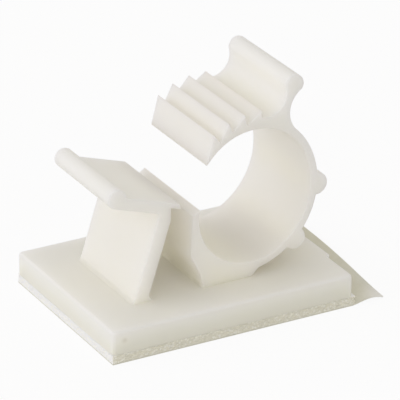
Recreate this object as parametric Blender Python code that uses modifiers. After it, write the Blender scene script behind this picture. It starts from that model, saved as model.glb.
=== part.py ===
"""Adhesive cable clip in natural nylon: a springy C-loop with a ratchet arm and a latch on a foam-backed plate.

Metres, +Z up. The origin is the middle of the sticking face, under the plate, at the underside of the
release liner. X runs along the plate's length, from the latch to the loop. Y runs along the cable, and the
whole clip above the plate is one constant section in X and Z.
"""
from math import acos, asin, atan2, ceil, cos, degrees, hypot, pi, radians, sin, tan

import bmesh
import bpy
from mathutils import Vector

# Base plate
PLATE_LENGTH = 0.0254
PLATE_WIDTH = 0.0196
PLATE_THICKNESS = 0.0023
PLATE_CORNER_RADIUS = 0.0004
PLATE_EDGE_RADIUS = 0.0003

# Foam tape with its adhesive films, and the paper liner under it
FOAM_THICKNESS = 0.00075
ADHESIVE_FILM = 0.00005
LINER_THICKNESS = 0.0001
LINER_TAB_FRONT = 0.00335
LINER_TAB_BACK = 0.00385
LINER_CURL_FRONT = 0.0001
LINER_CURL_BACK = 0.00122
LINER_CURL_LENGTH = 0.0137

# Section of the clip, as wide as the cable's seat
CLIP_WIDTH = 0.011
MOULD_RADIUS = 0.00012
POST_FILLET = 0.0005
JAW_FILLET = 0.0002
FOOT_DEPTH = 0.0008

# C-loop
LOOP_RADIUS = 0.0079
LOOP_WALL = 0.00075
LOOP_STANDOFF = 0.00053
LOOP_SETBACK = 0.00145
FOOT_TO_FRONT = 0.00427
FOOT_TO_BACK = 0.00089
FOOT_FLARE = 0.00075

# Fixed jaw, where the loop meets the latch
JAW_RADIUS = 0.0055
JAW_BLEND_ANGLE = -61.4
JAW_TIP_ANGLE = 169.2
JAW_TIP_WIDTH = 0.00078
JAW_TIP_SLOPE = 31.0
JAW_FACE_LEAN = 3.0
JAW_UNDERCUT_HEIGHT = 0.00345
JAW_KNEE_HEIGHT = 0.0014
JAW_KNEE_INSET = 0.00098

# Ratchet arm
ARM_RADIUS = 0.00597
ARM_BLEND_ANGLE = 25.5
ARM_END_ANGLE = 146.2
ARM_END_FLARE = 0.00003
ARM_FLARE_ANGLE = 6.0
ARM_WEB_AT_END = 0.00052
ARM_WEB_AT_TAB = 0.00066
TOOTH_COUNT = 4
TOOTH_DEPTH = 0.00108
TOOTH_PITCH = 13.5
TOOTH_FIRST_ANGLE = 83.5
TOOTH_LEAN = 4.0

# Finger tab with its bead, between a hollow on each side
TAB_ANGLE = 62.3
TAB_HEIGHT = 0.00356
TAB_BEAD_RADIUS = 0.00095
TAB_HEEL_HEIGHT = 0.00112
TAB_HEEL_ANGLE = 72.0
TAB_BACK_RADIUS = 0.0026
TAB_BACK_BITE = 0.00005

# Round ribs on the back of the loop
RIB_RADIUS = 0.0011
RIB_SINK = 0.00005
RIB_ANGLES = (-3.3, -45.4)

# Latch: a leaning post with a release lever on one side of its head and a hook on the other
HOOK_TO_JAW = 0.00122
POST_LEAN = 17.8
POST_THICKNESS = 0.00142
POST_HEIGHT = 0.00876
LEVER_THICKNESS = 0.00118
LEVER_SETBACK = 0.00193
LEVER_BEAD_RADIUS = 0.00095
LEVER_CORNER_RADIUS = 0.0002
HOOK_THICKNESS = 0.00052
HOOK_REACH = 0.0012
HOOK_LEAD_IN = 0.00025
HOOK_NOTCH_DEPTH = 0.00035
HOOK_NOTCH_HEIGHT = 0.0012

# Finishes, with colours in linear light
NYLON_COLOUR = (0.76, 0.74, 0.66)
NYLON_ROUGHNESS = 0.42
FOAM_COLOUR = (0.80, 0.80, 0.74)
FOAM_ROUGHNESS = 0.9
LINER_COLOUR = (0.62, 0.60, 0.50)
LINER_ROUGHNESS = 0.6

# Fineness of the round stretches, and of the edges' rounding
ARC_DEVIATION = 0.000006
ROUND_SEGMENTS = 2
PLATE_SEGMENTS = 3
SHARP_ANGLE = 35.0
LINER_ROWS = 14
LINER_COLUMNS = 5
TANGENT_BITE = 0.00002
WELD = 1e-7

FOAM_BOTTOM = LINER_THICKNESS + ADHESIVE_FILM
PLATE_BOTTOM = FOAM_BOTTOM + FOAM_THICKNESS + ADHESIVE_FILM
PLATE_TOP = PLATE_BOTTOM + PLATE_THICKNESS
LOOP_CENTRE = (PLATE_LENGTH / 2 - LOOP_SETBACK - LOOP_RADIUS, PLATE_TOP + LOOP_STANDOFF + LOOP_RADIUS)
LOOP_BORE_RADIUS = LOOP_RADIUS - LOOP_WALL


# Points of the section, as (x, z)
def polar(centre, radius, angle):
    """The point at an angle in degrees on a circle."""
    return (centre[0] + radius * cos(radians(angle)), centre[1] + radius * sin(radians(angle)))


def angle_of(centre, point):
    return degrees(atan2(point[1] - centre[1], point[0] - centre[0]))


def arc(centre, radius, start, end):
    """Evenly spaced points from one angle to the other, both ends included."""
    step = 2 * degrees(acos(1 - ARC_DEVIATION / radius))
    steps = max(1, ceil(abs(end - start) / step))
    return [polar(centre, radius, start + (end - start) * i / steps) for i in range(steps + 1)]


def crossing(centre_a, radius_a, centre_b, radius_b, side):
    """Where two circles cross, on the left (+1) or the right (-1) of the way from the first to the second."""
    span = hypot(centre_b[0] - centre_a[0], centre_b[1] - centre_a[1])
    opening = degrees(acos((radius_a ** 2 + span ** 2 - radius_b ** 2) / (2 * radius_a * span)))
    return polar(centre_a, radius_a, angle_of(centre_a, centre_b) + side * opening)


def clockwise_arc(centre, radius, start_point, end_point):
    start = angle_of(centre, start_point)
    end = angle_of(centre, end_point)
    return arc(centre, radius, start, end if end < start else end - 360)


def counter_arc(centre, radius, start_point, end_point):
    start = angle_of(centre, start_point)
    end = angle_of(centre, end_point)
    return arc(centre, radius, start, end if end > start else end + 360)


def fillet(before, corner, after, radius):
    """An arc that rounds the corner between two straight runs."""
    to_before = (Vector(before) - Vector(corner)).normalized()
    to_after = (Vector(after) - Vector(corner)).normalized()
    half_angle = to_before.angle(to_after) / 2
    reach = radius / tan(half_angle)
    centre = Vector(corner) + (to_before + to_after).normalized() * radius / sin(half_angle)
    start_point = Vector(corner) + to_before * reach
    start = angle_of(centre, start_point)
    sweep = angle_of(centre, Vector(corner) + to_after * reach) - start
    return arc(centre, radius, start, start + (sweep + 180) % 360 - 180)


def joined(*runs):
    """Runs of points one after another, without the points that repeat where two runs meet."""
    points = []
    for point in (p for run in runs for p in run):
        if not points or hypot(point[0] - points[-1][0], point[1] - points[-1][1]) > WELD:
            points.append(point)
    return points


# Solids
def new_object(name, mesh):
    obj = bpy.data.objects.new(name, mesh)
    bpy.context.scene.collection.objects.link(obj)
    return obj


def apply_modifiers(obj):
    """Replaces an object's mesh by the one that its modifiers make."""
    graph = bpy.context.evaluated_depsgraph_get()
    graph.update()
    mesh = bpy.data.meshes.new_from_object(obj.evaluated_get(graph))
    obj.modifiers.clear()
    obj.data = mesh


def round_edges(obj, radius):
    """Rounds every edge that is sharper than SHARP_ANGLE, as the mould's corners do."""
    bevel = obj.modifiers.new("rounded", "BEVEL")
    bevel.width = radius
    bevel.segments = ROUND_SEGMENTS
    bevel.limit_method = "ANGLE"
    bevel.angle_limit = radians(SHARP_ANGLE)
    apply_modifiers(obj)


def extruded_section(name, outline, width):
    """A closed outline in X and Z, pushed out along Y to both sides of the middle."""
    curve = bpy.data.curves.new(name, "CURVE")
    curve.dimensions = "2D"
    curve.fill_mode = "BOTH"
    curve.extrude = width / 2
    spline = curve.splines.new("POLY")
    spline.points.add(len(outline) - 1)
    for point, (x, z) in zip(spline.points, outline):
        point.co = (x, z, 0, 1)
    spline.use_cyclic_u = True
    guide = new_object(name, curve)
    guide.rotation_euler = (pi / 2, 0, 0)
    graph = bpy.context.evaluated_depsgraph_get()
    graph.update()
    mesh = bpy.data.meshes.new_from_object(guide.evaluated_get(graph))
    mesh.transform(guide.matrix_world)
    bpy.data.objects.remove(guide)
    shape = bmesh.new()
    shape.from_mesh(mesh)
    bmesh.ops.remove_doubles(shape, verts=shape.verts, dist=WELD)
    bmesh.ops.dissolve_limit(shape, angle_limit=radians(0.1), verts=shape.verts, edges=shape.edges)
    bmesh.ops.recalc_face_normals(shape, faces=shape.faces)
    shape.to_mesh(mesh)
    shape.free()
    return new_object(name, mesh)


def box(name, length, width, bottom, top):
    """A block centred on the origin in X and Y."""
    bpy.ops.mesh.primitive_cube_add(size=1, location=(0, 0, (bottom + top) / 2))
    obj = bpy.context.object
    obj.name = name
    obj.scale = (length, width, top - bottom)
    bpy.ops.object.transform_apply(location=True, rotation=True, scale=True)
    return obj


def bevel_chosen(obj, radius, chosen):
    """Rounds only the edges that a test picks by the heights of their lower and upper ends."""
    shape = bmesh.new()
    shape.from_mesh(obj.data)
    edges = [edge for edge in shape.edges if chosen(*sorted(v.co.z for v in edge.verts))]
    bmesh.ops.bevel(shape, geom=edges, offset=radius, segments=PLATE_SEGMENTS, profile=0.5,
                    affect="EDGES", clamp_overlap=True)
    shape.to_mesh(obj.data)
    shape.free()


def union(target, piece):
    join = target.modifiers.new("union", "BOOLEAN")
    join.operation = "UNION"
    join.solver = "EXACT"
    join.object = piece
    apply_modifiers(target)
    bpy.data.objects.remove(piece)


# Base plate
def plate():
    """A block with rounded upright corners and a rounded top edge, square at the foam."""
    block = box("plate", PLATE_LENGTH, PLATE_WIDTH, PLATE_BOTTOM, PLATE_TOP)
    middle = (PLATE_BOTTOM + PLATE_TOP) / 2
    bevel_chosen(block, PLATE_CORNER_RADIUS, lambda lows, highs: lows < middle < highs)
    bevel_chosen(block, PLATE_EDGE_RADIUS, lambda lows, highs: lows > PLATE_TOP - WELD)
    return block


# C-loop with its foot, jaw, arm and tab
def jaw_centre():
    return polar(LOOP_CENTRE, LOOP_BORE_RADIUS - JAW_RADIUS, JAW_BLEND_ANGLE)


def jaw_shoulder():
    """The outer corner of the jaw's sloping tip."""
    tip = polar(jaw_centre(), JAW_RADIUS, JAW_TIP_ANGLE)
    return (tip[0] - JAW_TIP_WIDTH, tip[1] - JAW_TIP_WIDTH * tan(radians(JAW_TIP_SLOPE)))


def jaw_run():
    """From the foot up the outside of the fixed jaw, over its sloping tip and down its round inside."""
    shoulder = jaw_shoulder()
    undercut_z = PLATE_TOP + JAW_UNDERCUT_HEIGHT
    undercut_x = shoulder[0] - (shoulder[1] - undercut_z) * tan(radians(JAW_FACE_LEAN))
    knee = (undercut_x + JAW_KNEE_INSET, PLATE_TOP + JAW_KNEE_HEIGHT)
    foot_start = (LOOP_CENTRE[0] - FOOT_TO_FRONT, PLATE_TOP)
    foot = fillet((undercut_x, PLATE_TOP), foot_start, knee, JAW_FILLET)
    return joined(
        [(foot[0][0], PLATE_TOP - FOOT_DEPTH)],
        foot,
        [knee, (undercut_x, undercut_z), shoulder],
        arc(jaw_centre(), JAW_RADIUS, JAW_TIP_ANGLE, JAW_BLEND_ANGLE + 360),
    )


def arm_centre():
    return polar(LOOP_CENTRE, LOOP_BORE_RADIUS - ARM_RADIUS, ARM_BLEND_ANGLE)


def bore_run():
    """The inside of the loop, from the jaw round the back and along the arm to its free end."""
    back = arc(LOOP_CENTRE, LOOP_BORE_RADIUS, JAW_BLEND_ANGLE, ARM_BLEND_ANGLE)
    arm = arc(arm_centre(), ARM_RADIUS, ARM_BLEND_ANGLE, ARM_END_ANGLE - ARM_FLARE_ANGLE)
    end = polar(arm_centre(), ARM_RADIUS + ARM_END_FLARE, ARM_END_ANGLE)
    return joined(back, arm, [end])


def tooth_run():
    """Ratchet teeth from the free end to the tab's heel: each rises on a ramp and drops on a steep face."""
    centre = arm_centre()
    points = []
    for index in reversed(range(TOOTH_COUNT)):
        to_tab = 1 - index / (TOOTH_COUNT - 1)
        root_radius = ARM_RADIUS + ARM_WEB_AT_END + (ARM_WEB_AT_TAB - ARM_WEB_AT_END) * to_tab
        tip_angle = TOOTH_FIRST_ANGLE + index * TOOTH_PITCH
        lean = degrees(TOOTH_DEPTH * tan(radians(TOOTH_LEAN)) / root_radius)
        points.append(polar(centre, root_radius + TOOTH_DEPTH, tip_angle))
        if index:
            points.append(polar(centre, root_radius, tip_angle - lean))
    heel = polar(centre, ARM_RADIUS + TAB_HEEL_HEIGHT, TOOTH_FIRST_ANGLE)
    return points + [heel]


def tab_run(heel):
    """Up the front hollow, round the bead and down the back hollow to the outside of the loop.

    The front hollow leaves the heel in a given direction and touches the bead, which gives its radius.
    The back hollow touches the loop and bites into the bead.
    """
    bead = polar(LOOP_CENTRE, LOOP_RADIUS + TAB_HEIGHT, TAB_ANGLE)
    touch = TAB_BEAD_RADIUS - TANGENT_BITE
    span = hypot(bead[0] - heel[0], bead[1] - heel[1])
    rise = span * cos(radians(TAB_HEEL_ANGLE - angle_of(heel, bead)))
    front_radius = (span ** 2 - touch ** 2) / (2 * (touch + rise))
    front = polar(heel, front_radius, TAB_HEEL_ANGLE)
    to_loop = LOOP_RADIUS + TAB_BACK_RADIUS - TANGENT_BITE
    to_bead = TAB_BEAD_RADIUS + TAB_BACK_RADIUS - TAB_BACK_BITE
    back = crossing(LOOP_CENTRE, to_loop, bead, to_bead, -1)
    front_meet = crossing(front, front_radius, bead, TAB_BEAD_RADIUS, 1)
    back_meet = crossing(back, TAB_BACK_RADIUS, bead, TAB_BEAD_RADIUS, -1)
    root = crossing(back, TAB_BACK_RADIUS, LOOP_CENTRE, LOOP_RADIUS, -1)
    return joined(
        counter_arc(front, front_radius, heel, front_meet),
        clockwise_arc(bead, TAB_BEAD_RADIUS, front_meet, back_meet),
        counter_arc(back, TAB_BACK_RADIUS, back_meet, root),
    )


def back_run(start_point):
    """Down the outside of the loop and over its two ribs to the end of the foot."""
    runs = []
    for rib_angle in RIB_ANGLES:
        rib = polar(LOOP_CENTRE, LOOP_RADIUS - RIB_SINK, rib_angle)
        enter = crossing(LOOP_CENTRE, LOOP_RADIUS, rib, RIB_RADIUS, 1)
        leave = crossing(LOOP_CENTRE, LOOP_RADIUS, rib, RIB_RADIUS, -1)
        runs.append(clockwise_arc(LOOP_CENTRE, LOOP_RADIUS, start_point, enter))
        runs.append(clockwise_arc(rib, RIB_RADIUS, enter, leave))
        start_point = leave
    foot_angle = -degrees(acos((FOOT_TO_BACK + FOOT_FLARE) / LOOP_RADIUS))
    foot_end = LOOP_CENTRE[0] + FOOT_TO_BACK
    foot_top = polar(LOOP_CENTRE, LOOP_RADIUS, foot_angle)
    runs.append(clockwise_arc(LOOP_CENTRE, LOOP_RADIUS, start_point, foot_top))
    runs.append([(foot_end, PLATE_TOP), (foot_end, PLATE_TOP - FOOT_DEPTH)])
    return joined(*runs)


def loop():
    teeth = tooth_run()
    tab = tab_run(teeth[-1])
    outline = joined(jaw_run(), bore_run(), teeth, tab, back_run(tab[-1]))
    return extruded_section("loop", outline, CLIP_WIDTH)


# Latch
def latch():
    """The post, its lever with a bead at the end, and its hook, leant over together on the post's foot.

    The hook stops short of the jaw, and the lever's bead stops short of the plate's end.
    """
    lean = radians(POST_LEAN)
    half = POST_THICKNESS / 2
    lever_top = POST_HEIGHT + LEVER_THICKNESS
    ledge = lever_top - HOOK_THICKNESS
    nose = HOOK_REACH + HOOK_LEAD_IN
    post_x = jaw_shoulder()[0] - HOOK_TO_JAW - nose * cos(lean) - ledge * sin(lean)

    def leant(across, along):
        x = post_x + across * cos(lean) + along * sin(lean)
        return (x, PLATE_TOP - across * sin(lean) + along * cos(lean))

    bead_height = POST_HEIGHT + LEVER_BEAD_RADIUS
    bead_x = -PLATE_LENGTH / 2 + LEVER_SETBACK + LEVER_BEAD_RADIUS
    bead = ((bead_x - post_x - bead_height * sin(lean)) / cos(lean), bead_height)
    bead_end = degrees(asin((lever_top - bead_height) / LEVER_BEAD_RADIUS))
    inner_corner = (-half - LEVER_CORNER_RADIUS, POST_HEIGHT - LEVER_CORNER_RADIUS)
    head = joined(
        arc(inner_corner, LEVER_CORNER_RADIUS, 0, 90),
        arc(bead, LEVER_BEAD_RADIUS, -90, bead_end - 360),
        [(HOOK_REACH, lever_top), (nose, ledge)],
        [(half - HOOK_NOTCH_DEPTH, ledge), (half, ledge - HOOK_NOTCH_HEIGHT)],
    )
    head = [leant(*point) for point in head]
    half_foot = half / cos(lean)
    left = (post_x - half_foot, PLATE_TOP)
    right = (post_x + half_foot, PLATE_TOP)
    left_fillet = fillet((left[0] - POST_FILLET, PLATE_TOP), left, head[0], POST_FILLET)
    right_fillet = fillet(head[-1], right, (right[0] + POST_FILLET, PLATE_TOP), POST_FILLET)
    outline = joined(
        [(left_fillet[0][0], PLATE_TOP - FOOT_DEPTH)],
        left_fillet,
        head,
        right_fillet,
        [(right_fillet[-1][0], PLATE_TOP - FOOT_DEPTH)],
    )
    return extruded_section("latch", outline, CLIP_WIDTH)


def clip_body():
    """One moulding: the plate with the loop and the latch grown out of it."""
    body = plate()
    for piece in (loop(), latch()):
        round_edges(piece, MOULD_RADIUS)
        union(body, piece)
    body.name = "clip_body"
    return body


# Foam tape and liner
def foam_tape():
    return box("foam_tape", PLATE_LENGTH, PLATE_WIDTH, FOAM_BOTTOM, FOAM_BOTTOM + FOAM_THICKNESS)


def liner_point(u, v):
    """A point of the liner's underside: u from the plate's end to the free edge, v from front to back, 0 to 1.

    The free strip bends up on a round curve, little at the front and most over the back half.
    """
    y = PLATE_WIDTH * (v - 0.5)
    along = min(1.0, PLATE_WIDTH * v / LINER_CURL_LENGTH)
    height = LINER_CURL_FRONT + (LINER_CURL_BACK - LINER_CURL_FRONT) * along ** 2 * (3 - 2 * along)
    reach = LINER_TAB_FRONT + (LINER_TAB_BACK - LINER_TAB_FRONT) * v
    bend = 2 * height / reach
    turned = bend * u
    return (PLATE_LENGTH / 2 + reach * sin(turned) / bend, y, reach * (1 - cos(turned)) / bend)


def release_liner():
    """A paper strip as wide as the foam, with a free end to pull, given its thickness upwards."""
    sheet = bmesh.new()
    grid = []
    for j in range(LINER_ROWS + 1):
        v = j / LINER_ROWS
        flat_end = (-PLATE_LENGTH / 2, PLATE_WIDTH * (v - 0.5), 0.0)
        strip = [flat_end] + [liner_point(i / LINER_COLUMNS, v) for i in range(LINER_COLUMNS + 1)]
        grid.append([sheet.verts.new(point) for point in strip])
    for near, far in zip(grid, grid[1:]):
        for i in range(LINER_COLUMNS + 1):
            sheet.faces.new((near[i], near[i + 1], far[i + 1], far[i]))
    mesh = bpy.data.meshes.new("release_liner")
    sheet.to_mesh(mesh)
    sheet.free()
    liner = new_object("release_liner", mesh)
    paper = liner.modifiers.new("paper", "SOLIDIFY")
    paper.thickness = LINER_THICKNESS
    paper.offset = 1
    apply_modifiers(liner)
    return liner


# Materials
def finish(obj, name, colour, roughness):
    material = bpy.data.materials.new(name)
    material.use_nodes = True
    shader = material.node_tree.nodes["Principled BSDF"]
    shader.inputs["Base Color"].default_value = (*colour, 1)
    shader.inputs["Roughness"].default_value = roughness
    shader.inputs["Metallic"].default_value = 0.0
    obj.data.materials.clear()
    obj.data.materials.append(material)


def main():
    for obj in list(bpy.data.objects):
        bpy.data.objects.remove(obj)
    group = bpy.data.collections.new("adhesive_cable_clip")
    bpy.context.scene.collection.children.link(group)
    pieces = (
        (clip_body(), "natural_nylon", NYLON_COLOUR, NYLON_ROUGHNESS),
        (foam_tape(), "white_foam", FOAM_COLOUR, FOAM_ROUGHNESS),
        (release_liner(), "liner_paper", LINER_COLOUR, LINER_ROUGHNESS),
    )
    for obj, name, colour, roughness in pieces:
        finish(obj, name, colour, roughness)
        for holder in list(obj.users_collection):
            holder.objects.unlink(obj)
        group.objects.link(obj)
    body = pieces[0][0]
    body.data.shade_smooth()
    body.data.set_sharp_from_angle(angle=radians(SHARP_ANGLE))


main()
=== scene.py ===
# %% [markdown]
# # Adhesive cable clip
#
# A small clip of milky nylon that sticks on a panel and snaps shut around a cable.
# It is shown open, resting on the paper that still covers its adhesive.
#
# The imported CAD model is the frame: every piece made here sits where a CAD node says.
# There are three nodes: the nylon moulding, the foam tape under it and the release liner.

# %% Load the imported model
import math

import bmesh
import bpy
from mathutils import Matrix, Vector
from mathutils import noise


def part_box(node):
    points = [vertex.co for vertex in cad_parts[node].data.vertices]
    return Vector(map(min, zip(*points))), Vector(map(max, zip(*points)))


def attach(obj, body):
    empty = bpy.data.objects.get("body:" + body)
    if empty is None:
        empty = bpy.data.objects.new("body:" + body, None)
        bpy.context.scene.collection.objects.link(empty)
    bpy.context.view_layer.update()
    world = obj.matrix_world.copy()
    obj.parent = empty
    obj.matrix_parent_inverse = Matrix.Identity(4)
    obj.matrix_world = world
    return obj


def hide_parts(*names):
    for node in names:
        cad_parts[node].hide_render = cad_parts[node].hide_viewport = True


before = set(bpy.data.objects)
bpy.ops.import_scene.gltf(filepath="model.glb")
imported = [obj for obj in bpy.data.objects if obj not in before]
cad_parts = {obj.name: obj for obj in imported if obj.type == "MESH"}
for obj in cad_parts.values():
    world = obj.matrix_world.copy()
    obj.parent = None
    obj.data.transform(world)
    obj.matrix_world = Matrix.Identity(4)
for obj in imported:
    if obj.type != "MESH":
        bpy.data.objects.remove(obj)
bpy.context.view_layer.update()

# %% [markdown]
# ## Units and selection
#
# Everything is in metres, but a clip of 29 mm is easier to think about in millimetres.
# Operators work on whatever is selected, so each piece starts with nothing else selected.

# %% Millimetres and an empty selection
MM = 0.001


def start_piece():
    """Deselects everything, so that a new primitive stands alone."""
    for other in bpy.context.selected_objects:
        other.select_set(False)


print("one millimetre is", MM, "m")

# %% [markdown]
# ## Camera
#
# The photograph was taken with a long lens from the front left, looking down at 25 degrees.
# Its place was worked out from the plate's corners and the edges of the loop, whose sizes
# are known, so the render lines up with the photograph without any shift.

# %% Camera at the photograph's viewing angle
CAMERA_PLACE = (-146.39 * MM, -270.95 * MM, 152.36 * MM)
CAMERA_PITCH = 65.161
CAMERA_YAW = -28.658
LENS_MM = 326.26
SENSOR_MM = 36.0
NEAREST_SEEN = 0.01
FURTHEST_SEEN = 20

start_piece()
bpy.ops.object.camera_add(
    location=CAMERA_PLACE,
    rotation=(math.radians(CAMERA_PITCH), 0, math.radians(CAMERA_YAW)),
)
camera = bpy.context.object
camera.name = "photo_camera"
camera.data.lens = LENS_MM
camera.data.sensor_width = SENSOR_MM
camera.data.clip_start = NEAREST_SEEN
camera.data.clip_end = FURTHEST_SEEN
bpy.context.scene.camera = camera
print("camera", round(camera.location.length / MM), "mm from the clip")

# %% [markdown]
# ## Colours and nodes
#
# Colours are written as sRGB hex values, as a paint program shows them.
# A shader wants linear light, so one function turns every colour to linear.
# One more function adds a node with its settings and links, so a material reads as a list.

# %% Helpers for materials
def linear(hex_colour):
    """A colour such as "e8e4da" as linear red, green, blue and alpha."""
    channels = [int(hex_colour[i:i + 2], 16) / 255 for i in (0, 2, 4)]
    return [c / 12.92 if c <= 0.04045 else ((c + 0.055) / 1.055) ** 2.4 for c in channels] + [1]


def add_node(tree, kind, settings=None, inputs=None):
    """Adds a node. settings are its properties; an input is a value or another node's output."""
    node = tree.nodes.new(kind)
    for name, value in (settings or {}).items():
        setattr(node, name, value)
    for name, value in (inputs or {}).items():
        if isinstance(value, bpy.types.NodeSocket):
            tree.links.new(value, node.inputs[name])
        else:
            node.inputs[name].default_value = value
    return node


def empty_material(name):
    """A new material with no nodes but its output."""
    material = bpy.data.materials.new(name)
    material.use_nodes = True
    tree = material.node_tree
    tree.nodes.clear()
    output = add_node(tree, "ShaderNodeOutputMaterial")
    return material, tree, output


print("middle grey in linear light", round(linear("808080")[0], 3))

# %% [markdown]
# ## Floor and background
#
# The clip stands on a white sweep. A white surface photographed in soft light has hardly
# any shadow on it, only a faint darkening close to the plate.
# The floor is a matt white that the camera sees mostly as pure white, through the
# Light Path node, while light that bounces on to the clip comes from the matt white alone.
# A brighter lamp would also whiten the floor, but it would bleach the clip as well.

# %% Floor
FLOOR_WIDTH = 6.0
FLOOR_DROP = 0.02 * MM
FLOOR_WHITE = "f4f4f2"
FLOOR_WHITENESS = 0.92


def white_for_camera(tree, lit_shader, share):
    """Mixes a lit shader with pure white where the camera sees it, reflected or through glass too."""
    path = add_node(tree, "ShaderNodeLightPath")
    seen = add_node(tree, "ShaderNodeMath", {"operation": "MAXIMUM"},
                    {0: path.outputs["Is Camera Ray"], 1: path.outputs["Is Glossy Ray"]})
    seen_or_through = add_node(tree, "ShaderNodeMath", {"operation": "MAXIMUM"},
                               {0: seen.outputs[0], 1: path.outputs["Is Transmission Ray"]})
    factor = add_node(tree, "ShaderNodeMath", {"operation": "MULTIPLY"},
                      {0: seen_or_through.outputs[0], 1: share})
    white = add_node(tree, "ShaderNodeEmission", None, {"Color": (1, 1, 1, 1), "Strength": 1.0})
    return add_node(tree, "ShaderNodeMixShader", None,
                    {0: factor.outputs[0], 1: lit_shader, 2: white.outputs[0]})


start_piece()
bpy.ops.mesh.primitive_plane_add(size=FLOOR_WIDTH, location=(0, 0, -FLOOR_DROP))
floor = bpy.context.object
floor.name = "white_floor"
bpy.ops.object.transform_apply(location=True, rotation=True, scale=True)

floor_paint, tree, output = empty_material("matt_white_sweep")
sweep = add_node(tree, "ShaderNodeBsdfDiffuse", None,
                 {"Color": linear(FLOOR_WHITE), "Roughness": 0.5})
floor_seen = white_for_camera(tree, sweep.outputs[0], FLOOR_WHITENESS)
tree.links.new(floor_seen.outputs[0], output.inputs["Surface"])
floor.data.materials.append(floor_paint)
print("floor", FLOOR_WIDTH, "m wide")

# %% [markdown]
# ## Light
#
# The photograph was lit from all round, as in a light tent: no edge throws a hard shadow.
# Faces that look left are a step brighter than those that look at the camera, so one large
# softbox stands on the left, a little behind the clip, and a weaker one between it and the
# camera. The even part comes from the world. The cloth of a tent is a touch warmer than its
# lamps, so faces in the softboxes' light stay neutral while corners that only see the cloth
# turn warm.

# %% Softboxes
CLIP_MIDDLE = Vector((0, 0, 9 * MM))
LEFT_PLACE = (-0.53, 0.26, 0.22)
LEFT_SIZE = 0.46
LEFT_POWER = 1.0
FRONT_LEFT_PLACE = (-0.42, -0.42, 0.20)
FRONT_LEFT_SIZE = 0.40
FRONT_LEFT_POWER = 0.40
SOFTBOX_TINT = (0.90, 0.895, 1.0)


def softbox(name, place, size, power):
    """A square soft light at a place in metres, aimed at the clip and unseen by the camera."""
    start_piece()
    bpy.ops.object.light_add(type="AREA", location=place)
    light = bpy.context.object
    light.name = name
    light.data.size = size
    light.data.energy = power
    light.data.color = SOFTBOX_TINT
    aim = CLIP_MIDDLE - Vector(place)
    light.rotation_euler = aim.to_track_quat("-Z", "Y").to_euler()
    light.visible_camera = False


softbox("left_softbox", LEFT_PLACE, LEFT_SIZE, LEFT_POWER)
softbox("front_left_softbox", FRONT_LEFT_PLACE, FRONT_LEFT_SIZE, FRONT_LEFT_POWER)
print("left", LEFT_POWER, "W, front left", FRONT_LEFT_POWER, "W")

# %% The tent's even light
WORLD_LIGHT = 0.665
WORLD_TINT = (1.0, 0.97, 0.95, 1)

world = bpy.data.worlds.new("light_tent")
bpy.context.scene.world = world
world.use_nodes = True
tree = world.node_tree
tree.nodes.clear()
path = add_node(tree, "ShaderNodeLightPath")
tint = add_node(tree, "ShaderNodeMix", {"data_type": "RGBA"},
                {0: path.outputs["Is Camera Ray"], 6: WORLD_TINT, 7: (1, 1, 1, 1)})
strength = add_node(tree, "ShaderNodeMapRange", None,
                    {"Value": path.outputs["Is Camera Ray"], "To Min": WORLD_LIGHT, "To Max": 1.0})
air = add_node(tree, "ShaderNodeBackground", None,
               {"Color": tint.outputs[2], "Strength": strength.outputs[0]})
add_node(tree, "ShaderNodeOutputWorld", None, {"Surface": air.outputs[0]})
bpy.context.scene.view_settings.view_transform = "Standard"
print("world", WORLD_LIGHT)

# %% [markdown]
# ## Natural nylon
#
# The clip is polyamide 6.6 without pigment, injection moulded in a finely blasted mould.
# Light goes a few millimetres into it before it comes out again, and comes out warmer:
# thin walls glow, edges look soft, and deep corners turn olive.
# Subsurface scattering does this. The surface over it is a dull satin, with an IOR of 1.53.
# Crystals that grow as the nylon cools leave faint cloudy patches, a few millimetres wide,
# and the blasted mould leaves a grain of hundredths of a millimetre. The grain is too fine
# to show here, so it is drawn at a fifth of a millimetre.
#
# Low in the plate the white foam turns the light back up. Scattered light that left through
# the underside would be lost in the thin joint and draw a dark band over it, so the reach of
# the scattering shrinks towards the foam. The colour there also gets painted shade: it turns
# a little darker and warmer over the lowest part of the plate.
# A small dark speck sits in the plate's front face near its left corner.

# %% Nylon material
NYLON_MILKY = "fcf8ed"
NYLON_CLOUDY = "faf5e7"
NYLON_PAINTED_LOW_SHADE = "f8f4e4"
NYLON_DEPTH = 2.6 * MM
NYLON_SKIN = 0.05 * MM
SATIN_ROUGHNESS = (0.62, 0.72)
CLOUD_SIZE = 5 * MM
GRAIN_SIZE = 0.2 * MM
GRAIN_DEPTH = 0.01 * MM
PLATE_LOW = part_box("clip_body")[0].z
PLATE_THICKNESS = 2.3 * MM
PAINTED_SHADE_HEIGHT = 0.6 * PLATE_THICKNESS
SPECK_GREY = "d2cebf"
SPECK_PLACE = (-11.47 * MM, -9.8 * MM, 2.26 * MM)
SPECK_SIZE = 0.42 * MM
SPECK_SHARE = 0.4


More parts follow.
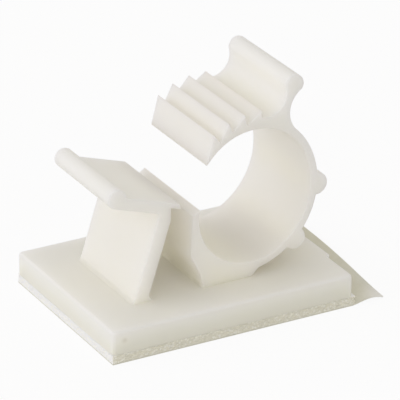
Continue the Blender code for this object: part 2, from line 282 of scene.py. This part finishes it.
def natural_nylon():
    """Milky nylon with faint clouds, a speck, painted shade low in the plate, and scattering that
    grows upwards.
    """
    material, tree, output = empty_material("natural_nylon_moulded")
    place = add_node(tree, "ShaderNodeTexCoord")
    clouds = add_node(tree, "ShaderNodeTexNoise", None,
                      {"Vector": place.outputs["Object"], "Scale": 1 / CLOUD_SIZE, "Detail": 3.0,
                       "Roughness": 0.55})
    colour = add_node(tree, "ShaderNodeMix", {"data_type": "RGBA"},
                      {0: clouds.outputs[0], 6: linear(NYLON_MILKY), 7: linear(NYLON_CLOUDY)})
    from_speck = add_node(tree, "ShaderNodeVectorMath", {"operation": "DISTANCE"},
                          {0: place.outputs["Object"], 1: SPECK_PLACE})
    speck = add_node(tree, "ShaderNodeMapRange", {"interpolation_type": "SMOOTHSTEP"},
                     {"Value": from_speck.outputs["Value"], "From Min": 0.0,
                      "From Max": SPECK_SIZE, "To Min": SPECK_SHARE, "To Max": 0.0})
    marked = add_node(tree, "ShaderNodeMix", {"data_type": "RGBA"},
                      {0: speck.outputs[0], 6: colour.outputs[2], 7: linear(SPECK_GREY)})
    grain = add_node(tree, "ShaderNodeTexNoise", None,
                     {"Vector": place.outputs["Object"], "Scale": 1 / GRAIN_SIZE, "Detail": 2.0})
    satin = add_node(tree, "ShaderNodeMapRange", None,
                     {"Value": clouds.outputs[0], "To Min": SATIN_ROUGHNESS[0],
                      "To Max": SATIN_ROUGHNESS[1]})
    relief = add_node(tree, "ShaderNodeBump", None,
                      {"Height": grain.outputs[0], "Strength": 0.25, "Distance": GRAIN_DEPTH})
    height = add_node(tree, "ShaderNodeSeparateXYZ", None, {0: place.outputs["Object"]})
    depth = add_node(tree, "ShaderNodeMapRange", None,
                     {"Value": height.outputs["Z"], "From Min": PLATE_LOW,
                      "From Max": PLATE_LOW + PLATE_THICKNESS, "To Min": NYLON_SKIN,
                      "To Max": NYLON_DEPTH})
    # Painted shade: the colour turns darker and warmer over the lowest part of the plate.
    above_painted_shade = add_node(tree, "ShaderNodeMapRange", None,
                         {"Value": height.outputs["Z"], "From Min": PLATE_LOW,
                          "From Max": PLATE_LOW + PAINTED_SHADE_HEIGHT})
    low_painted_shade = add_node(tree, "ShaderNodeMix", {"data_type": "RGBA"},
                      {0: above_painted_shade.outputs[0], 6: linear(NYLON_PAINTED_LOW_SHADE), 7: marked.outputs[2]})
    skin = add_node(tree, "ShaderNodeBsdfPrincipled", None,
                    {"Base Color": low_painted_shade.outputs[2], "Roughness": satin.outputs[0],
                     "IOR": 1.53, "Subsurface Weight": 1.0, "Subsurface Scale": depth.outputs[0],
                     "Subsurface Radius": (1.0, 1.0, 1.0), "Normal": relief.outputs[0]})
    tree.links.new(skin.outputs[0], output.inputs["Surface"])
    return material


nylon = natural_nylon()
print("material", nylon.name)

# %% [markdown]
# ## The moulding
#
# The plate, the latch and the C-loop are one nylon moulding. Its form is right in the CAD
# node already, so the piece is a copy of it rather than a new model. The CAD node's mesh is
# loose triangles with hard shading, so the copy is merged first. Later its faces are shaded
# smooth where they meet at a small angle, which makes the loop's arcs round.

# %% Copy and merge the moulding
WELD = 0.0001 * MM
FLAT_ANGLE = 0.5


def select_only(piece):
    """Nothing but this piece is selected and active."""
    start_piece()
    piece.select_set(True)
    bpy.context.view_layer.objects.active = piece


def report_piece(piece):
    """Says what was made: the piece's faces and its size in millimetres."""
    corners = [vertex.co for vertex in piece.data.vertices]
    size = [(max(c[i] for c in corners) - min(c[i] for c in corners)) / MM for i in range(3)]
    faces = len(piece.data.polygons)
    print(f"{piece.name}: {faces} faces, {size[0]:.2f} x {size[1]:.2f} x {size[2]:.2f} mm")


def merged_copy(node, name):
    """A copy of a CAD node whose triangles share their corners."""
    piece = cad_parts[node].copy()
    piece.data = piece.data.copy()
    piece.name = name
    piece.data.name = name
    piece.parent = None
    for key in [key for key in piece.keys() if key.startswith("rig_")]:
        del piece[key]
    bpy.context.scene.collection.objects.link(piece)
    piece.data.materials.clear()
    select_only(piece)
    bpy.ops.object.mode_set(mode="EDIT")
    bpy.ops.mesh.customdata_custom_splitnormals_clear()
    bpy.ops.mesh.select_all(action="SELECT")
    bpy.ops.mesh.remove_doubles(threshold=WELD)
    bpy.ops.mesh.dissolve_limited(angle_limit=math.radians(FLAT_ANGLE))
    bpy.ops.object.mode_set(mode="OBJECT")
    return piece


moulding = merged_copy("clip_body", "moulded_clip")
report_piece(moulding)

# %% [markdown]
# Along the plate's right end, behind the loop's foot, a thin lip of nylon stands out. It is
# where two halves of the mould closed a little apart. It starts in a small step that shows
# in the photograph. The lip could be pulled out of the plate's own faces, but its ends would
# then need new edges there. A bar with softened edges is simpler, and a union joins it to
# the plate and keeps the moulding one closed body.

# %% Lip at the plate's right end
LIP_FRONT = -5.0 * MM
LIP_BACK = 9.4 * MM
LIP_INNER = 12.2 * MM
LIP_OUTER = 12.96 * MM
LIP_HEIGHT = 0.45 * MM
LIP_SUNK = 0.01 * MM
LIP_TOP = PLATE_LOW + PLATE_THICKNESS - LIP_SUNK
LIP_EDGE = 0.06 * MM

start_piece()
bpy.ops.mesh.primitive_cube_add(size=1, location=(0, 0, 0))
lip = bpy.context.object
lip.name = "mould_lip"
lip.scale = (LIP_OUTER - LIP_INNER, LIP_BACK - LIP_FRONT, LIP_HEIGHT)
lip.location = ((LIP_OUTER + LIP_INNER) / 2, (LIP_BACK + LIP_FRONT) / 2, LIP_TOP - LIP_HEIGHT / 2)
bpy.ops.object.transform_apply(location=True, rotation=True, scale=True)
softened = lip.modifiers.new("softened", "BEVEL")
softened.width = LIP_EDGE
softened.segments = 2
bpy.ops.object.modifier_apply(modifier="softened")
select_only(moulding)
grown = moulding.modifiers.new("grown_on", "BOOLEAN")
grown.operation = "UNION"
grown.solver = "EXACT"
grown.object = lip
bpy.ops.object.modifier_apply(modifier="grown_on")
bpy.data.objects.remove(lip)
report_piece(moulding)

# %% [markdown]
# The edges of the moulding have real roundings of a tenth of a millimetre or more, so they
# can be shaded smooth with the faces. Weighted normals let the large flat faces keep their
# own direction, so no shade creeps across them.

# %% Shade the moulding and put it in its place
MOULDING_SMOOTH = 50

bpy.ops.object.shade_smooth_by_angle(angle=math.radians(MOULDING_SMOOTH))
even = moulding.modifiers.new("even_shading", "WEIGHTED_NORMAL")
even.keep_sharp = True
bpy.ops.object.modifier_apply(modifier="even_shading")
moulding.data.materials.append(nylon)
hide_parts("clip_body")
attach(moulding, "root")
print(moulding.name, "replaces clip_body")

# %% [markdown]
# ## Foam tape
#
# A strip of white closed-cell foam with adhesive on both sides lies under the plate.
# Its cut edge shows opened cells: small pits and bright rims. It is flush with the plate
# but for the right end, where it was cut a little too long.
# The block starts as a flat plate of the foam's length and width. Its rim is cut into short
# edges, which are pulled down layer by layer, and the pits are pushed in afterwards, so that
# they are real geometry and show from any side.

# %% Foam block with a fine grid on its cut edge
FOAM_LOW, FOAM_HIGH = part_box("foam_tape")
ADHESIVE = 0.045 * MM
OVERHANG = 0.3 * MM
TAPE_LEFT = FOAM_LOW.x
TAPE_RIGHT = FOAM_HIGH.x + OVERHANG
TAPE_BOTTOM = FOAM_LOW.z - ADHESIVE
TAPE_TOP = FOAM_HIGH.z + ADHESIVE
CELL_EDGE = 0.08 * MM
FOAM_LAYERS = 10
WHOLE_SIDE = 0.9


def tape_block():
    """A closed block: its sides are a grid of cells, its top and bottom one face each."""
    length = TAPE_RIGHT - TAPE_LEFT
    width = FOAM_HIGH.y - FOAM_LOW.y
    start_piece()
    bpy.ops.mesh.primitive_plane_add(size=1, location=(0, 0, 0))
    piece = bpy.context.object
    piece.name = "cut_foam_tape"
    piece.scale = (length, width, 1)
    piece.location = ((TAPE_LEFT + TAPE_RIGHT) / 2, 0, TAPE_TOP)
    bpy.ops.object.transform_apply(location=True, rotation=True, scale=True)
    bpy.ops.object.mode_set(mode="EDIT")
    bpy.ops.mesh.select_mode(type="EDGE")
    for axis, side in ((0, length), (1, width)):
        mesh = bmesh.from_edit_mesh(piece.data)
        for edge in mesh.edges:
            run = edge.verts[1].co - edge.verts[0].co
            edge.select_set(abs(run[axis]) > WHOLE_SIDE * side)
        bmesh.update_edit_mesh(piece.data)
        bpy.ops.mesh.subdivide(number_cuts=round(side / CELL_EDGE) - 1, ngon=True)
    bpy.ops.mesh.select_all(action="SELECT")
    bpy.ops.mesh.region_to_loop()
    step = (TAPE_BOTTOM - TAPE_TOP) / FOAM_LAYERS
    for layer in range(FOAM_LAYERS):
        bpy.ops.mesh.extrude_edges_move(TRANSFORM_OT_translate={"value": (0, 0, step)})
    bpy.ops.mesh.edge_face_add()
    bpy.ops.mesh.select_all(action="SELECT")
    bpy.ops.mesh.normals_make_consistent(inside=False)
    bpy.ops.object.mode_set(mode="OBJECT")
    return piece


foam = tape_block()
report_piece(foam)

# %% [markdown]
# The pits are pushed in from the side only, so the block stays inside the tape's outline.
# The long sides were slit by a blade that tears the cells open. The ends were sheared off,
# which leaves them smoother, so their pits are half as deep.
# Two sizes of unevenness are added up: the cells, a quarter of a millimetre wide, and the
# slow waves that a blade leaves in soft foam. The film of adhesive next to the plate and
# the one next to the paper are not foam, so the pits fade out towards both.
# The noise gives the same value at the same point each time, so every run is the same.

# %% Push in the opened cells
PIT_DEPTH = 0.13 * MM
PIT_WIDTH = 0.22 * MM
PIT_RIM = 0.6
WAVE_DEPTH = 0.04 * MM
WAVE_LENGTH = 1.6 * MM
FILM_FADE = 4 * ADHESIVE
END_PITS = 0.5
ON_RIM = 0.001 * MM
FOAM_SMOOTH = 60


def pit(point):
    """How far a point of the cut edge is pushed in, in metres."""
    distances = noise.voronoi(point / PIT_WIDTH)[0]
    cell = min(1.0, distances[0] / PIT_RIM)
    wave = 0.5 + 0.5 * noise.noise(point / WAVE_LENGTH)
    from_film = min(point.z - TAPE_BOTTOM, TAPE_TOP - point.z)
    opened = min(1.0, from_film / FILM_FADE)
    return opened * (PIT_DEPTH * (1 - cell * cell) + WAVE_DEPTH * max(0.0, wave))


for vertex in foam.data.vertices:
    rim_x = min(vertex.co.x - TAPE_LEFT, TAPE_RIGHT - vertex.co.x) < ON_RIM
    rim_y = abs(vertex.co.y) > FOAM_HIGH.y - ON_RIM
    depth = pit(vertex.co.copy())
    if rim_x:
        vertex.co.x -= math.copysign(END_PITS * depth, vertex.co.x)
    if rim_y:
        vertex.co.y -= math.copysign(depth, vertex.co.y)
select_only(foam)
bpy.ops.object.shade_smooth_by_angle(angle=math.radians(FOAM_SMOOTH))
report_piece(foam)

# %% [markdown]
# Cut polyethylene foam is white and matt. The long sides, front and back, get painted shade,
# and on every side some cells get painted glints, small bright dots. The ends stay nearly
# white. Each side could have a material of its own, but the surface's direction already tells
# a long side from an end. The pattern's own random value for each cell picks the glinting ones,
# and the dot fills the cell's middle.

# %% Foam material
FOAM_PAINTED_GLINT = "fffef0"
FOAM_SHEARED = "fbfcf8"
FOAM_PAINTED_SIDE_SHADE = "eeecdb"
GLINT_CELLS = (0.5, 0.75)
CELL_MIDDLE = (0.4, 0.75)
LONG_SIDE = (0.3, 0.8)
CELL_RELIEF = 0.08 * MM


def white_foam():
    """Matt white foam with painted shade on the long sides, pale ends and painted glints on some
    cells.
    """
    material, tree, output = empty_material("white_polyethylene_foam_cut")
    place = add_node(tree, "ShaderNodeTexCoord")
    cells = add_node(tree, "ShaderNodeTexVoronoi", None,
                     {"Vector": place.outputs["Object"], "Scale": 1 / PIT_WIDTH})
    cell_tone = add_node(tree, "ShaderNodeSeparateColor", None, {0: cells.outputs["Color"]})
    # Painted glints: some cells get a bright dot in their middle, as if they caught the light.
    glinting_cell = add_node(tree, "ShaderNodeMapRange", None,
                        {"Value": cell_tone.outputs[0], "From Min": GLINT_CELLS[0],
                         "From Max": GLINT_CELLS[1]})
    cell_middle = add_node(tree, "ShaderNodeMapRange", None,
                           {"Value": cells.outputs["Distance"], "From Min": CELL_MIDDLE[0],
                            "From Max": CELL_MIDDLE[1], "To Min": 1.0, "To Max": 0.0})
    painted_glint = add_node(tree, "ShaderNodeMath", {"operation": "MULTIPLY"},
                     {0: glinting_cell.outputs[0], 1: cell_middle.outputs[0]})
    facing = add_node(tree, "ShaderNodeSeparateXYZ", None, {0: place.outputs["Normal"]})
    sideways = add_node(tree, "ShaderNodeMath", {"operation": "ABSOLUTE"},
                        {0: facing.outputs["Y"]})
    # Painted shade on the long sides, picked by the surface's direction.
    side_shade = add_node(tree, "ShaderNodeMapRange", None,
                    {"Value": sideways.outputs[0], "From Min": LONG_SIDE[0],
                     "From Max": LONG_SIDE[1]})
    cut = add_node(tree, "ShaderNodeMix", {"data_type": "RGBA"},
                   {0: side_shade.outputs[0], 6: linear(FOAM_SHEARED), 7: linear(FOAM_PAINTED_SIDE_SHADE)})
    colour = add_node(tree, "ShaderNodeMix", {"data_type": "RGBA"},
                      {0: painted_glint.outputs[0], 6: cut.outputs[2], 7: linear(FOAM_PAINTED_GLINT)})
    relief = add_node(tree, "ShaderNodeBump", None,
                      {"Height": cells.outputs["Distance"], "Strength": 0.75,
                       "Distance": CELL_RELIEF})
    skin = add_node(tree, "ShaderNodeBsdfPrincipled", None,
                    {"Base Color": colour.outputs[2], "Roughness": 0.9, "IOR": 1.5,
                     "Subsurface Weight": 0.4, "Subsurface Scale": 0.1 * MM,
                     "Subsurface Radius": (1.0, 1.0, 1.0), "Normal": relief.outputs[0]})
    tree.links.new(skin.outputs[0], output.inputs["Surface"])
    return material


foam.data.materials.append(white_foam())
print("material", foam.data.materials[0].name)

# %% [markdown]
# The tape's two broad faces carry a film of clear acrylic adhesive, which is shinier than
# the foam under it. Both hide between two layers, so the film is a second material on those
# faces rather than a body of its own.

# %% Adhesive film on the broad faces
FILM_PALE = "fefdfb"
FILM_DEEP = "fcfbf7"
FILM_WEB = 1.5 * MM
FACING_UP = 0.99
BROAD_FACE = 10 * MM * MM


def adhesive_film():
    """Clear acrylic adhesive on white foam, as seen face on."""
    material, tree, output = empty_material("acrylic_adhesive_on_foam")
    place = add_node(tree, "ShaderNodeTexCoord")
    web = add_node(tree, "ShaderNodeTexNoise", None,
                   {"Vector": place.outputs["Object"], "Scale": 1 / FILM_WEB, "Detail": 3.0})
    colour = add_node(tree, "ShaderNodeMix", {"data_type": "RGBA"},
                      {0: web.outputs[0], 6: linear(FILM_PALE), 7: linear(FILM_DEEP)})
    skin = add_node(tree, "ShaderNodeBsdfPrincipled", None,
                    {"Base Color": colour.outputs[2], "Roughness": 0.35, "IOR": 1.47})
    tree.links.new(skin.outputs[0], output.inputs["Surface"])
    return material


foam.data.materials.append(adhesive_film())
for face in foam.data.polygons:
    if abs(face.normal.z) > FACING_UP and face.area > BROAD_FACE:
        face.material_index = 1
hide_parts("foam_tape")
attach(foam, "root")
print(foam.name, "replaces foam_tape")

# %% [markdown]
# ## Release liner
#
# The paper under the foam is siliconised kraft paper, a tenth of a millimetre thick. It runs
# on past the plate, so that a finger can catch it, and its free strip has curled up, most of
# all towards the back corner. Near the front corner it also swells up in a low wave between
# the plate and the free edge. A simulation could curl it, but stiff paper keeps to a simple
# curve, which a formula gives more exactly. A flat grid is laid out as the paper was cut,
# and its free strip is then bent up along a round curve and lifted by the wave.

# %% The curl of the paper's free strip
PLATE_END = 12.7 * MM
PAPER_WIDTH = 19.6 * MM
STRIP_FRONT = 3.35 * MM
STRIP_BACK = 3.85 * MM
CURL_FRONT = 0.1 * MM
CURL_BACK = 1.22 * MM
CURL_LENGTH = 13.7 * MM
HUMP = 0.30 * MM
HUMP_LEAN = 1.3
HUMP_SWELL = 1.5
SWELL_LEAN = 2
HUMP_RISE = 0.8 * MM
HUMP_LENGTH = 7.0 * MM


def curled(u, v):
    """A point of the paper's underside: u from the plate to the free edge, v from front to back."""
    from_front = PAPER_WIDTH * v
    y = from_front - PAPER_WIDTH / 2
    along = min(1.0, from_front / CURL_LENGTH)
    height = CURL_FRONT + (CURL_BACK - CURL_FRONT) * along ** 2 * (3 - 2 * along)
    reach = STRIP_FRONT + (STRIP_BACK - STRIP_FRONT) * v
    bend = 2 * height / reach
    turned = bend * u
    rise = 1 - math.exp(-from_front / HUMP_RISE)
    swell = HUMP_SWELL * rise * math.sin(math.pi * u ** SWELL_LEAN)
    fade = math.exp(-from_front / HUMP_LENGTH)
    hump = HUMP * (math.sin(math.pi * u ** HUMP_LEAN) + swell) * fade
    x = PLATE_END + reach * math.sin(turned) / bend
    z = reach * (1 - math.cos(turned)) / bend + hump
    return Vector((x, y, z))


print(f"back corner curls up {curled(1, 1).z / MM:.2f} mm")

# %% Lay out and bend the paper
PAPER = 0.1 * MM
FLAT_COLUMNS = 26
STRIP_COLUMNS = 18
PAPER_ROWS = 60
SPLIT_SLACK = 1e-6
PAPER_SMOOTH = 40


def paper_liner():
    """The liner's grid, bent, given its thickness and trimmed straight along its front."""
    start_piece()
    columns = FLAT_COLUMNS + STRIP_COLUMNS
    bpy.ops.mesh.primitive_grid_add(x_subdivisions=columns, y_subdivisions=PAPER_ROWS, size=2)
    piece = bpy.context.object
    piece.name = "curled_release_liner"
    split = 2 * FLAT_COLUMNS / columns - 1
    for vertex in piece.data.vertices:
        u = vertex.co.x
        v = (vertex.co.y + 1) / 2
        if u <= split + SPLIT_SLACK:
            flat = (u + 1) / (split + 1)
            vertex.co = Vector((-PLATE_END + 2 * PLATE_END * flat, PAPER_WIDTH * (v - 0.5), 0))
        else:
            vertex.co = curled((u - split) / (1 - split), v)
    sheet = piece.modifiers.new("paper", "SOLIDIFY")
    sheet.thickness = PAPER
    sheet.offset = 1
    bpy.ops.object.modifier_apply(modifier="paper")
    for vertex in piece.data.vertices:
        vertex.co.y = max(-PAPER_WIDTH / 2, vertex.co.y)
    bpy.ops.object.shade_smooth_by_angle(angle=math.radians(PAPER_SMOOTH))
    return piece


liner = paper_liner()
report_piece(liner)

# %% [markdown]
# Release paper is bleached kraft with a thin coat of silicone, so it is smooth and slightly
# glossy, with the cloudy look of pressed fibres when light comes through it.
# Its front corner gets painted light: it is paler than the rest, where the front left softbox
# reaches it past the plate. The distance from that corner gives the change, so it follows
# the paper up its curl.

# %% Liner material
PAPER_PALE = "e8e7d8"
PAPER_DARK = "dcdbc7"
PAPER_PAINTED_LIGHT = "f9f8f1"
FIBRE_SIZE = 0.6 * MM
FIBRE_DEPTH = 0.01 * MM
LIT_CORNER_PLACE = (PLATE_END + STRIP_FRONT, -PAPER_WIDTH / 2, CURL_FRONT)
LIT_CORNER_REACH = 2.8 * MM


def release_paper():
    """Silicone-coated paper with cloudy fibres and painted light on its front corner."""
    material, tree, output = empty_material("siliconised_kraft_paper")
    place = add_node(tree, "ShaderNodeTexCoord")
    fibres = add_node(tree, "ShaderNodeTexNoise", None,
                      {"Vector": place.outputs["Object"], "Scale": 1 / FIBRE_SIZE, "Detail": 4.0,
                       "Roughness": 0.6})
    colour = add_node(tree, "ShaderNodeMix", {"data_type": "RGBA"},
                      {0: fibres.outputs[0], 6: linear(PAPER_PALE), 7: linear(PAPER_DARK)})
    # Painted light: the paper turns paler towards its front corner.
    from_corner = add_node(tree, "ShaderNodeVectorMath", {"operation": "DISTANCE"},
                           {0: place.outputs["Object"], 1: LIT_CORNER_PLACE})
    corner_light = add_node(tree, "ShaderNodeMapRange", {"interpolation_type": "SMOOTHSTEP"},
                    {"Value": from_corner.outputs["Value"], "From Min": 0.0,
                     "From Max": LIT_CORNER_REACH, "To Min": 1.0, "To Max": 0.0})
    lit_corner_colour = add_node(tree, "ShaderNodeMix", {"data_type": "RGBA"},
                     {0: corner_light.outputs[0], 6: colour.outputs[2], 7: linear(PAPER_PAINTED_LIGHT)})
    relief = add_node(tree, "ShaderNodeBump", None,
                      {"Height": fibres.outputs[0], "Strength": 0.2, "Distance": FIBRE_DEPTH})
    skin = add_node(tree, "ShaderNodeBsdfPrincipled", None,
                    {"Base Color": lit_corner_colour.outputs[2], "Roughness": 0.45, "IOR": 1.45,
                     "Normal": relief.outputs[0]})
    tree.links.new(skin.outputs[0], output.inputs["Surface"])
    return material


liner.data.materials.append(release_paper())
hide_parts("release_liner")
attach(liner, "root")
print("material", liner.data.materials[0].name)
